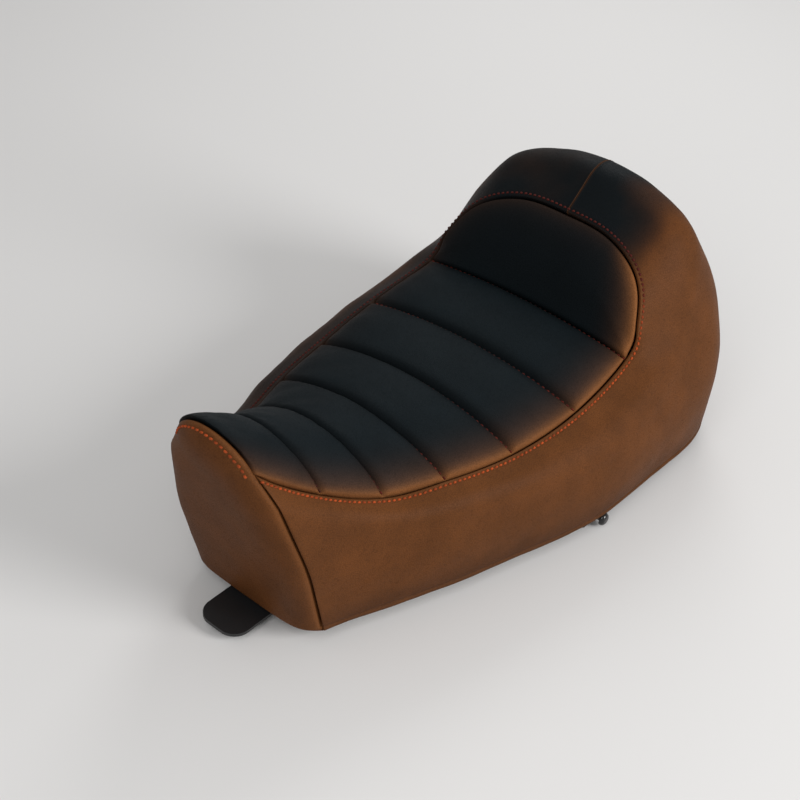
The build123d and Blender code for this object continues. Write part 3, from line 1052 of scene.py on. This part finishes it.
def ring_pad(sides, neighbours, outward, puff, bulge, unevenness, seed, free=None):
    """Surface and lining of a stuffed panel between sewn sides, its plain points and their way from the seam.

    neighbours holds the outward directions of the next panels, one for each point of the sides.
    free is the number of a side that doesn't hold the stuffing down.
    """
    loop = np.concatenate([side[:-1] for side in sides])
    origin = loop.mean(axis=0)
    up = unit(np.array((0.0, 0.0, 1.0)) - outward * outward[2])
    plane = np.stack([np.cross(up, outward), up])
    flat_sides = [(side - origin) @ plane.T for side in sides]
    outline = np.concatenate([side[:-1] for side in flat_sides])
    sheet = thin_plate(outline, (loop - origin) @ outward)
    after = np.roll(outline, -1, axis=0)
    clockwise = (outline[:, 0] * after[:, 1] - outline[:, 1] * after[:, 0]).sum() < 0
    turned = [side[::-1] for side in reversed(flat_sides)] if clockwise else flat_sides
    counts = [max(3, int(round(run_along(side)[-1] / PANEL_MESH))) for side in sides]
    rings = []
    for turn in PAD_EDGE:
        inset = inset_sides(turned, turn.away)
        rings.append(np.concatenate([spread(side, count) for side, count in zip(inset, counts)]))
    fixed = len(rings)
    last, middle = rings[-1], rings[-1].mean(axis=0)
    rings += [last + (middle - last) * (k / INNER_RINGS) for k in range(1, INNER_RINGS + 1)]
    flat = np.array(rings)
    for _ in range(RELAX_ROUNDS):
        inner = flat[fixed:-1]
        around = np.roll(inner, 1, axis=1) + np.roll(inner, -1, axis=1)
        inner += 0.5 * ((flat[fixed - 1:-2] + flat[fixed + 1:] + around) / 4 - inner)
        flat[-1] = flat[-2].mean(axis=0)
    ways = [way_from(flat, side) for side in flat_sides]
    away = np.min(ways, axis=0)
    away[:fixed] = np.array([turn.away for turn in PAD_EDGE])[:, None]
    held = away if free is None else np.min(ways[:free] + ways[free + 1:], axis=0)
    tilt = np.stack([
        (sheet(flat + offset) - sheet(flat - offset)) / (2 * SHEET_STEP) for offset in SHEET_STEP * np.eye(2)
    ], axis=-1)
    normals = unit(outward - tilt @ plane)
    points = origin + flat @ plane + sheet(flat)[..., None] * outward
    nearest = np.linalg.norm(points[0][:, None] - loop[None], axis=-1).argmin(axis=1)
    beside = np.concatenate([side[:-1] for side in neighbours])[nearest]
    sink = sinks(normals, beside, away)
    depth = np.array([turn.deep for turn in PAD_EDGE] + [0.0] * (len(flat) - fixed))[:, None, None]
    swell = unevenness * noise_at(points, 0.03, seed) * smoothstep(0.003, 0.012, away)
    swell = swelling(puff, bulge, held) + swell
    return points + normals * swell[..., None] - sink * depth, points - sink * LINING_DEPTH, points, away


class SEAT_OT_backrest(bpy.types.Operator):
    """Sews the smooth panel in front of the rear bolster"""

    bl_idname = "seat.backrest"
    bl_label = "Backrest panel"

    def execute(self, context):
        stations = even_stations(ROLLS, 2 * REAR_CENTRE - ROLLS, PANEL_MESH, AT_SEAM)
        over, over_out = SKIRT.line(stations, AT_SEAM)
        below, below_out = TOP.seam(ROLLS)
        surface, lining, points, away = ring_pad(
            (below, over), (below_out, over_out),
            backrest_outward(), BACKREST_THICK, BACKREST_ROUND, 0.0004, 11,
        )
        # A painted highlight under the bolster's seam, on the near side only, and painted shade over the
        # panel.
        near_side = 0.08 + 0.92 * smoothstep(0.050, 0.092, -points[..., 1])
        edge = glow(way_from(points, over), BACKREST_GLOW) * near_side
        wear = smoothstep(0.004, 0.024, away) * 0.15 + 0.83
        piece = padded_rings("backrest_pad", surface, lining, {"edge": edge, "wear": wear})
        finish_pad(piece, material_of("channelled_top"), "back_panel")
        return {"FINISHED"}


def skirt_rows():
    """Rows of the skirt from the seam down to the hem, with the depth of each."""
    top, bottom = TOP_STITCH_ROWS[-1].away, HEM[0].away
    shares = [k / SKIRT_ROWS for k in range(1, SKIRT_ROWS)]
    rows = [(Row(0.0, turn.away), turn.deep) for turn in SEWN_EDGE + TOP_STITCH_ROWS]
    rows += [(Row(share, top - (top + bottom) * share), 0.0) for share in shares]
    rows += [(Row(1.0, -turn.away), turn.deep) for turn in HEM]
    return [row for row, _ in rows], np.array([deep for _, deep in rows])


def skirt_columns():
    """Station numbers of the right skirt's columns, with their depths and ways from nose and rear seam."""
    fine, run = along_row(0, REAR_CENTRE, AT_MIDDLE)
    rear = [(run[-1] - turn.away, turn.deep) for turn in reversed(REAR_EDGE)]
    low, high = SEWN_EDGE[-1].away, rear[0][0]
    count = int(round((high - low) / SKIRT_MESH))
    body = [(p, 0.0) for p in np.linspace(low, high, count + 1)[1:-1]]
    distances, depths = np.array(SEWN_EDGE + body + rear).T
    return (np.interp(distances, run, fine), *(v[:, None] for v in (depths, distances, run[-1] - distances)))


class SEAT_OT_skirts(bpy.types.Operator):
    """Sews the skirt and bolster panels of both sides"""

    bl_idname = "seat.skirts"
    bl_label = "Skirts and bolster"

    def execute(self, context):
        cover = context.scene.seat_cover
        rows, row_depth = skirt_rows()
        stations, column_depth, from_nose, from_rear = skirt_columns()
        face = SKIRT.read(stations, rows)
        normals = SKIRT.normals(stations, rows)
        length = np.interp(stations, np.arange(len(SKIRT.lengths)), SKIRT.lengths)[:, None]
        share, more = np.array(rows).T
        away = length * share + more
        from_hem = length - away
        depth = np.maximum(np.where(row_depth > TURNED, row_depth, column_depth), column_depth)
        turned = (row_depth > TURNED) | (column_depth > TURNED)
        soft = 0.0011 * noise_at(face, 0.055, 21) + 0.0004 * noise_at(face, 0.02, 22)
        soft = soft * smoothstep(0.004, 0.03, away) + puckers(face[:, :1], away, 0.006, 0.0004, 23)
        past = smoothstep(ROLLS - 0.15, ROLLS + 0.3, stations)[:, None]
        beside = TOP.normals(np.minimum(stations, ROLLS), np.ones((len(stations), 1)))[:, 0]
        beside = unit(beside * (1 - past) + backrest_outward() * past)
        sink = sinks(sinks(normals, NOSE_OUTWARD, from_nose), beside[:, None], away)
        surface = face + normals * np.where(turned, 0.0, soft)[..., None] - sink * depth[..., None]
        thin = LINING_AT_HEM + (LINING_DEPTH - LINING_AT_HEM) * smoothstep(0.0, 0.045, from_hem)
        lining = face - sink * thin[..., None]
        # Painted shade where the bolster's top faces up, and a little along the hem
        facing_up = smoothstep(0.15, 0.80, normals[..., 2])
        facing_side = smoothstep(0.10, 0.62, np.abs(normals[..., 1]))
        high = smoothstep(0.145, 0.200, face[..., 2])
        wear = 0.96 * facing_up * (1 - facing_side) * high + 0.04 + 0.36 * fading(from_hem, 0.022)
        # Painted highlight along the rolled edge at the seam and along the hem, less where there is painted
        # shade, and on the ridges of the rear centre seam
        edge = (glow(away, SKIRT_GLOW) + glow(from_hem, HEM_GLOW)) * (1 - 0.88 * wear)
        ridge = glow(from_rear, REAR_GLOW)
        # Painted shade makes the far side dark in a band below its seam and over the bolster.
        band = 0.88 * (1 - smoothstep(0.22, 1.0, away / (0.046 + 0.030 * past)))
        bolster = 0.92 * smoothstep(0.30, 0.70, normals[..., 2]) * high
        darker = 1 - (1 - band) * (1 - bolster)
        material = leather("saddle_leather", cover.skirt_colour, cover, 0.50, 0.06)
        for side, flip, dark in (("right", 1, darker), ("left", MIRROR, 0.0)):
            marks = {"wear": wear + (1 - wear) * dark, "edge": edge * (1 - dark) + ridge}
            piece = padded_grid(f"{side}_skirt_pad", surface * flip, lining * flip, marks)
            finish_pad(piece, material, f"{side}_skirt")
        return {"FINISHED"}


class SEAT_OT_nose(bpy.types.Operator):
    """Sews the panel that closes the front of the seat"""

    bl_idname = "seat.nose"
    bl_label = "Nose panel"

    def execute(self, context):
        first = np.array([0.0])
        rows = [Row(share, 0.0) for share in np.linspace(0, 1, NOSE_ROWS)]
        flank, flank_out = SKIRT.read(first, rows)[0], SKIRT.normals(first, rows)[0]
        left, left_out = flank * MIRROR, flank_out * MIRROR
        over, over_out = (line[::-1] for line in TOP.seam(0))
        half_width = STATIONS[0].base[1]
        floor_count = int(round(2 * half_width / SKIRT_MESH))
        floor = left[-1] + (flank[-1] - left[-1]) * np.linspace(0, 1, floor_count + 1)[:, None]
        # The free lower side follows the stuffing outward, so it is dipped to stay level.
        dip = -NOSE_OUTWARD[2] * swelling(NOSE_THICK, NOSE_ROUND, half_width - np.abs(floor[:, 1]))
        floor = floor + np.array(NOSE_UPWARD) * (dip / NOSE_UPWARD.z)[:, None]
        floor_out = np.repeat([(0.0, 0.0, -1.0)], len(floor), axis=0)
        surface, lining, _, away = ring_pad(
            (over, left, floor, flank[::-1]), (over_out, left_out, floor_out, flank_out[::-1]),
            NOSE_OUTWARD, NOSE_THICK, NOSE_ROUND, 0.0006, 31, free=2,
        )
        # Painted highlight along the nose's sewn edges, and an even light painted shade
        edge = glow(away, NOSE_GLOW)
        piece = padded_rings("nose_pad", surface, lining, {"edge": edge, "wear": np.full_like(edge, 0.08)})
        finish_pad(piece, material_of("right_skirt_pad"), "nose_panel")
        return {"FINISHED"}


def stitch_mesh(length, width):
    """One sewn stitch: a short thread that dives into the leather at both ends."""
    bpy.ops.object.select_all(action="DESELECT")
    bpy.ops.mesh.primitive_uv_sphere_add(segments=8, ring_count=6, radius=0.5)
    stitch = bpy.context.object
    mesh = stitch.data
    for vertex in mesh.vertices:
        x, y, z = vertex.co.z, vertex.co.y, vertex.co.x
        along = math.copysign(abs(2 * x) ** STITCH_BLUNT, x) * length / 2
        vertex.co = (along, y * width, z * width - (2 * x) ** 4 * width * STITCH_DIVE)
    mesh.flip_normals()
    corners = np.array([tuple(v.co) for v in mesh.vertices])
    faces = [tuple(p.vertices) for p in mesh.polygons]
    bpy.data.objects.remove(stitch)
    return corners, faces


def sew(name, lines, length, width, lift, material, dull=None):
    """A stitch at each place of each line. A line is points with the leather's outward directions.

    A function for the painted shade, if given, says how dark a stitch at a place is made.
    """
    corners, faces = stitch_mesh(length, width)
    vertices, all_faces, stitch_shading = [], [], []
    for points, outward in lines:
        tangent = unit(np.gradient(points, axis=0))
        for point, along, up in zip(points, tangent, outward):
            side = unit(np.cross(up, along))
            up = np.cross(along, side)
            lean = unit(along + side * STITCH_LEAN)
            side = np.cross(up, lean)
            offset = len(vertices)
            vertices += list(point + lift * up + corners @ np.array([lean, side, up]))
            all_faces += [tuple(offset + k for k in face) for face in faces]
            stitch_shading += [dull(point) if dull else 0.0] * len(corners)
    piece = new_object(name, vertices, all_faces)
    write_mark(piece, "dull", stitch_shading)
    finish(piece, material)


def on_leather(points, pads, facing=None):
    """Places on the leather, nearest or straight below in a facing direction, and its outward directions."""
    trees = []
    for pad in pads:
        mesh = bpy.data.objects[pad].data
        corners = [v.co.copy() for v in mesh.vertices]
        half = len(corners) // 2
        faces = [tuple(p.vertices) for p in mesh.polygons if max(p.vertices) < half]
        trees.append(BVHTree.FromPolygons(corners, faces))
    places, outward = [], []
    for point in points:
        if facing is None:
            found = min((tree.find_nearest(Vector(point)) for tree in trees), key=lambda hit: hit[3])
        else:
            found = trees[0].ray_cast(Vector(point + facing * 0.04), Vector(-facing))
        places.append(tuple(found[0]))
        outward.append(tuple(found[1]))
    return np.array(places), unit(np.array(outward))


def edge_stitch_shade(place):
    """How much painted shade a stitch of the edge seam carries: more round the bolster and on the far side.
    """
    x, y, z = place
    bolster = smoothstep(0.135, 0.180, z) * smoothstep(-0.075, -0.050, x)
    return 0.95 * max(bolster, smoothstep(-0.02, 0.05, y))


def channel_stitch_shade(place):
    """How much painted shade a stitch between two rolls carries: much in the middle of the top, little near
    its edges.
    """
    return 0.8 * (1 - smoothstep(0.25, 0.75, abs(place[1]) / 0.11))


class SEAT_OT_stitching(bpy.types.Operator):
    """Sews the red top-stitching and the stitches in the channels"""

    bl_idname = "seat.stitching"
    bl_label = "Stitching"

    def execute(self, context):
        cover = context.scene.seat_cover
        red = thread("top_thread", cover.thread_colour, cover.shaded_thread_colour)
        dark = thread("channel_thread", cover.channel_thread, cover.top_shade_colour)
        length, width = cover.pitch * STITCH_LONG, cover.thread_width * STITCH_PLUMP
        edge = SKIRT.read(np.linspace(0.03, 2 * REAR_CENTRE - 0.03, 1500), [AT_STITCHES])[:, 0]
        line = on_leather(evenly(edge, cover.pitch), ("right_skirt_pad", "left_skirt_pad"))
        sew("edge_stitching", [line], length, width, STITCH_LIFT, red, dull=edge_stitch_shade)
        across = np.linspace(-STITCHED_ACROSS, STITCHED_ACROSS, 300)
        seam = TOP.line(0, across[::-1])[0]
        down = unit(np.cross(np.gradient(seam, axis=0), NOSE_OUTWARD))
        down = down * -np.sign(down @ np.array(NOSE_UPWARD))[:, None]
        line = on_leather(evenly(seam + down * TOP_STITCH_AWAY, cover.pitch), ("nose_pad",), NOSE_OUTWARD)
        sew("nose_stitching", [line], length, width, STITCH_LIFT, red)
        channels = []
        for k in range(1, ROLLS + 1):
            points, outward = TOP.line(k, across)
            spots = evenly(points, cover.pitch * CHANNEL_PITCH)
            outward = outward[np.abs(spots[:, None, 1] - points[None, :, 1]).argmin(axis=1)]
            channels.append((spots - outward * (CHANNEL[1].deep - CHANNEL_STITCH_LIFT), outward))
        width = cover.thread_width * CHANNEL_STITCH_PLUMP
        sew("channel_stitching", channels, length, width, 0.0, dark, dull=channel_stitch_shade)
        return {"FINISHED"}


def lower_edge(away):
    """Line of the seat's lower edge, moved inward, as one closed loop of evenly spread points."""
    stations = even_stations(0, 2 * REAR_CENTRE, HEM_MESH, AT_HEM)
    skirt = SKIRT.read(stations, [AT_HEM])[:, 0, :2]
    steps = int(round(np.linalg.norm(skirt[0] - skirt[-1]) / HEM_MESH))
    front = skirt[-1] + (skirt[0] - skirt[-1]) * np.linspace(0, 1, steps + 1)[:, None]
    front[:, 0] -= swelling(NOSE_THICK, NOSE_ROUND, STATIONS[0].base[1] - np.abs(front[:, 1])) - 0.0006
    sides = [skirt[::-1], front[::-1]]
    return np.concatenate([
        spread(side, len(whole) - 1) for side, whole in zip(inset_sides(sides, away), sides)
    ])


def at_height(line, height):
    """Points of a flat line, all at one height."""
    return np.concatenate([line, np.full((len(line), 1), height)], axis=1)


class SEAT_OT_hem(bpy.types.Operator):
    """Folds the cover's edge under the pan and staples it there"""

    bl_idname = "seat.hem"
    bl_label = "Hem and staples"

    def execute(self, context):
        points = np.array([at_height(lower_edge(away), height) for away, height in HEM_SECTION])
        ripple = noise_at(points, 0.012, 41) * 0.0003 * smoothstep(0.002, 0.006, np.array(HEM_SECTION)[:, :1])
        points[..., 2] += ripple * (points[..., 2] < LIP_Z - 0.0004)
        hem = new_object("hem", points.reshape(-1, 3), ring_faces(*points.shape[:2], closed=True))
        finish(hem, material_of("right_skirt_pad"))
        line = lower_edge(STAPLES_IN)
        places = evenly(at_height(np.concatenate([line, line[:1]]), HEM_LOW), STAPLE_PITCH)
        down = np.repeat([(0.0, 0.0, -1.0)], len(places), axis=0)
        sew("staples", [(places, down)], STAPLE_LONG, STAPLE_WIRE, STAPLE_LIFT, zinc_steel())
        return {"FINISHED"}


def select_only(*objects):
    """Selects these objects and nothing else, the first one active."""
    bpy.ops.object.select_all(action="DESELECT")
    for piece in objects:
        piece.select_set(True)
    bpy.context.view_layer.objects.active = objects[0]


def cylinder(radius, start, end, place, sides=40, level=False):
    """Cylinder upright between two heights at an x and y, or level between two y at an x and z."""
    middle = (start + end) / 2
    bpy.ops.object.select_all(action="DESELECT")
    bpy.ops.mesh.primitive_cylinder_add(
        vertices=sides, radius=radius, depth=abs(end - start),
        location=(place[0], middle, place[1]) if level else (*place, middle),
        rotation=(math.pi / 2 if level else 0.0, 0.0, 0.0),
    )
    return bpy.context.object


def join_parts(parts, name, material):
    """Joins parts into one finished piece whose place is in its mesh."""
    select_only(*parts)
    bpy.ops.object.join()
    piece = bpy.context.object
    bpy.ops.object.transform_apply(location=True, rotation=True, scale=True)
    bpy.ops.object.shade_smooth_by_angle(angle=SMOOTH_ANGLE)
    piece.name = name
    finish(piece, material)
    return piece


def button_screw(place, face_z):
    """Button-head screw with a hexagon socket and a washer, under a plate whose lower face is at face_z."""
    seat_z = face_z - WASHER_TALL
    washer = cylinder(WASHER, seat_z, face_z, place)
    head = cylinder(SCREW_HEAD, seat_z - SCREW_TALL, seat_z, place)
    for piece, width, steps in ((washer, 0.0003, 2), (head, 0.0018, 4)):
        select_only(piece)
        bevel = piece.modifiers.new("edge", "BEVEL")
        bevel.width = width
        bevel.segments = steps
        bevel.limit_method = "ANGLE"
        bevel.angle_limit = math.radians(60)
        bpy.ops.object.modifier_apply(modifier=bevel.name)
    socket = cylinder(SOCKET, seat_z - SCREW_TALL - 0.001, seat_z - SOCKET_FLOOR, place, sides=6)
    select_only(head)
    cut = head.modifiers.new("socket", "BOOLEAN")
    cut.object = socket
    cut.solver = "EXACT"
    bpy.ops.object.modifier_apply(modifier=cut.name)
    bpy.data.objects.remove(socket)
    select_only(head, washer)
    bpy.ops.object.join()
    return head


class SEAT_OT_screws(bpy.types.Operator):
    """Screws the bracket and the tongue to the pan"""

    bl_idname = "seat.screws"
    bl_label = "Screws"

    def execute(self, context):
        steel = material_of("staples")
        for name, places, height in SCREWS:
            join_parts([button_screw(place, height) for place in places], name, steel)
        return {"FINISHED"}


def dome_end(head, outer):
    """Rounds the end face of a plug's head at y = outer into a dome."""
    select_only(head)
    bpy.ops.object.transform_apply(location=True, rotation=True, scale=True)
    bpy.ops.object.mode_set(mode="EDIT")
    bpy.ops.mesh.select_mode(type="FACE")
    bpy.ops.mesh.select_all(action="DESELECT")
    bpy.ops.object.mode_set(mode="OBJECT")
    for face in head.data.polygons:
        face.select = abs(face.center.y - outer) < 1e-5
    bpy.ops.object.mode_set(mode="EDIT")
    bpy.ops.mesh.region_to_loop()
    bpy.ops.mesh.bevel(offset=PLUG_DOME, segments=8, profile=0.5, affect="EDGES")
    bpy.ops.object.mode_set(mode="OBJECT")


class SEAT_OT_plugs(bpy.types.Operator):
    """Domes the two glossy plugs below the skirts"""

    bl_idname = "seat.plugs"
    bl_label = "Side plugs"

    def execute(self, context):
        material = rubber("plug_rubber", 0.16, 0.12)
        for side, hand in (("right", 1), ("left", -1)):
            node = f"{side}_side_plug"
            low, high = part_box(node)
            place = ((low.x + high.x) / 2, (low.z + high.z) / 2)
            inner, outer = (low.y, high.y) if hand > 0 else (high.y, low.y)
            head_at = outer - hand * PLUG_HEAD
            shank = cylinder(PLUG_SHANK, inner, head_at + hand * 0.0002, place, sides=48, level=True)
            head = cylinder((high.z - low.z) / 2, head_at, outer, place, sides=48, level=True)
            dome_end(head, outer)
            plug = join_parts([shank, head], f"{side}_plug_dome", material)
            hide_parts(node)
        return {"FINISHED"}


class SEAT_OT_hardware(bpy.types.Operator):
    """Gives the pan, bracket, tongue, lugs and feet their finishes"""

    bl_idname = "seat.hardware"
    bl_label = "Pan and brackets"

    def execute(self, context):
        finishes = {
            "moulded_plastic": moulded_plastic(),
            "black_steel": black_steel(),
            "rubber": rubber("foot_rubber", 0.45, 0.5),
        }
        for part in frame["record"]["subparts"]:
            material = finishes.get(part["material_slot"])
            if material:
                mesh = frame["nodes"][part["node"]].data
                mesh.materials.clear()
                mesh.materials.append(material)
        return {"FINISHED"}


def area_lamp(facts):
    """Soft lamp that looks at the seat from a direction."""
    light = bpy.data.lights.new(facts.name, "AREA")
    light.shape = "DISK"
    light.size = facts.size
    light.energy = facts.power
    lamp = bpy.data.objects.new(facts.name, light)
    toward = Vector(facts.direction).normalized()
    lamp.location = LIT_PLACE + toward * facts.distance
    lamp.rotation_euler = toward.to_track_quat("Z", "Y").to_euler()
    bpy.context.scene.collection.objects.link(lamp)


class SEAT_OT_stage(bpy.types.Operator):
    """Sets up floor, lamps and camera"""

    bl_idname = "seat.stage"
    bl_label = "Studio"

    def execute(self, context):
        studio = context.scene.seat_studio
        scene = context.scene
        scene.view_settings.view_transform = "Standard"
        floor_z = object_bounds()[0].z - 0.0005
        bpy.ops.object.select_all(action="DESELECT")
        bpy.ops.mesh.primitive_plane_add(size=8.0, location=(0, 0, floor_z))
        floor = context.object
        floor.name = "studio_floor"
        floor.data.transform(floor.matrix_world)
        floor.matrix_world = Matrix.Identity(4)
        shader = Shader("studio_floor")
        shader.set(Base_Color=linear((0.86, 0.855, 0.85)), Roughness=0.8)
        floor.data.materials.append(shader.material)
        floor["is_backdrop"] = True
        world = bpy.data.worlds.new("studio")
        scene.world = world
        world.use_nodes = True
        background = world.node_tree.nodes["Background"]
        background.inputs["Color"].default_value = linear((0.93, 0.93, 0.93))
        background.inputs["Strength"].default_value = 0.5
        for facts in LAMPS:
            area_lamp(facts)
        eye = Vector((
            math.sin(studio.azimuth) * math.cos(studio.elevation),
            -math.cos(studio.azimuth) * math.cos(studio.elevation),
            math.sin(studio.elevation),
        ))
        camera = bpy.data.objects.new("camera", bpy.data.cameras.new("camera"))
        camera.data.lens = studio.lens
        camera.data.sensor_width = 36.0
        camera.location = Vector(studio.target) + eye * studio.distance
        level = eye.to_track_quat("Z", "Y").to_matrix().to_4x4()
        camera.rotation_euler = (level @ Matrix.Rotation(studio.roll, 4, "Z")).to_euler()
        scene.collection.objects.link(camera)
        scene.camera = camera
        return {"FINISHED"}


class SEAT_PT_panel(bpy.types.Panel):
    """Lists the steps that finish the seat"""

    bl_idname = "SEAT_PT_panel"
    bl_label = "Solo seat"
    bl_space_type = "VIEW_3D"
    bl_region_type = "UI"
    bl_category = "Seat"

    def draw(self, context):
        for operator in OPERATORS:
            self.layout.operator(operator.bl_idname)
        for settings in (context.scene.seat_cover, context.scene.seat_studio):
            for key in settings.bl_rna.properties.keys():
                if key not in ("rna_type", "name"):
                    self.layout.prop(settings, key)


OPERATORS = (
    SEAT_OT_channelled_top,
    SEAT_OT_backrest,
    SEAT_OT_skirts,
    SEAT_OT_nose,
    SEAT_OT_stitching,
    SEAT_OT_hem,
    SEAT_OT_screws,
    SEAT_OT_plugs,
    SEAT_OT_hardware,
    SEAT_OT_stage,
)
CLASSES = (SeatCoverSettings, SeatStudioSettings, *OPERATORS, SEAT_PT_panel)


def register():
    for cls in CLASSES:
        bpy.utils.register_class(cls)
    bpy.types.Scene.seat_cover = bpy.props.PointerProperty(type=SeatCoverSettings)
    bpy.types.Scene.seat_studio = bpy.props.PointerProperty(type=SeatStudioSettings)


def unregister():
    del bpy.types.Scene.seat_cover
    del bpy.types.Scene.seat_studio
    for cls in reversed(CLASSES):
        bpy.utils.unregister_class(cls)


def main():
    register()
    bpy.ops.seat.channelled_top()
    bpy.ops.seat.backrest()
    bpy.ops.seat.skirts()
    bpy.ops.seat.nose()
    bpy.ops.seat.stitching()
    bpy.ops.seat.hem()
    bpy.ops.seat.screws()
    bpy.ops.seat.plugs()
    bpy.ops.seat.hardware()
    bpy.ops.seat.stage()


if __name__ == "__main__":
    main()
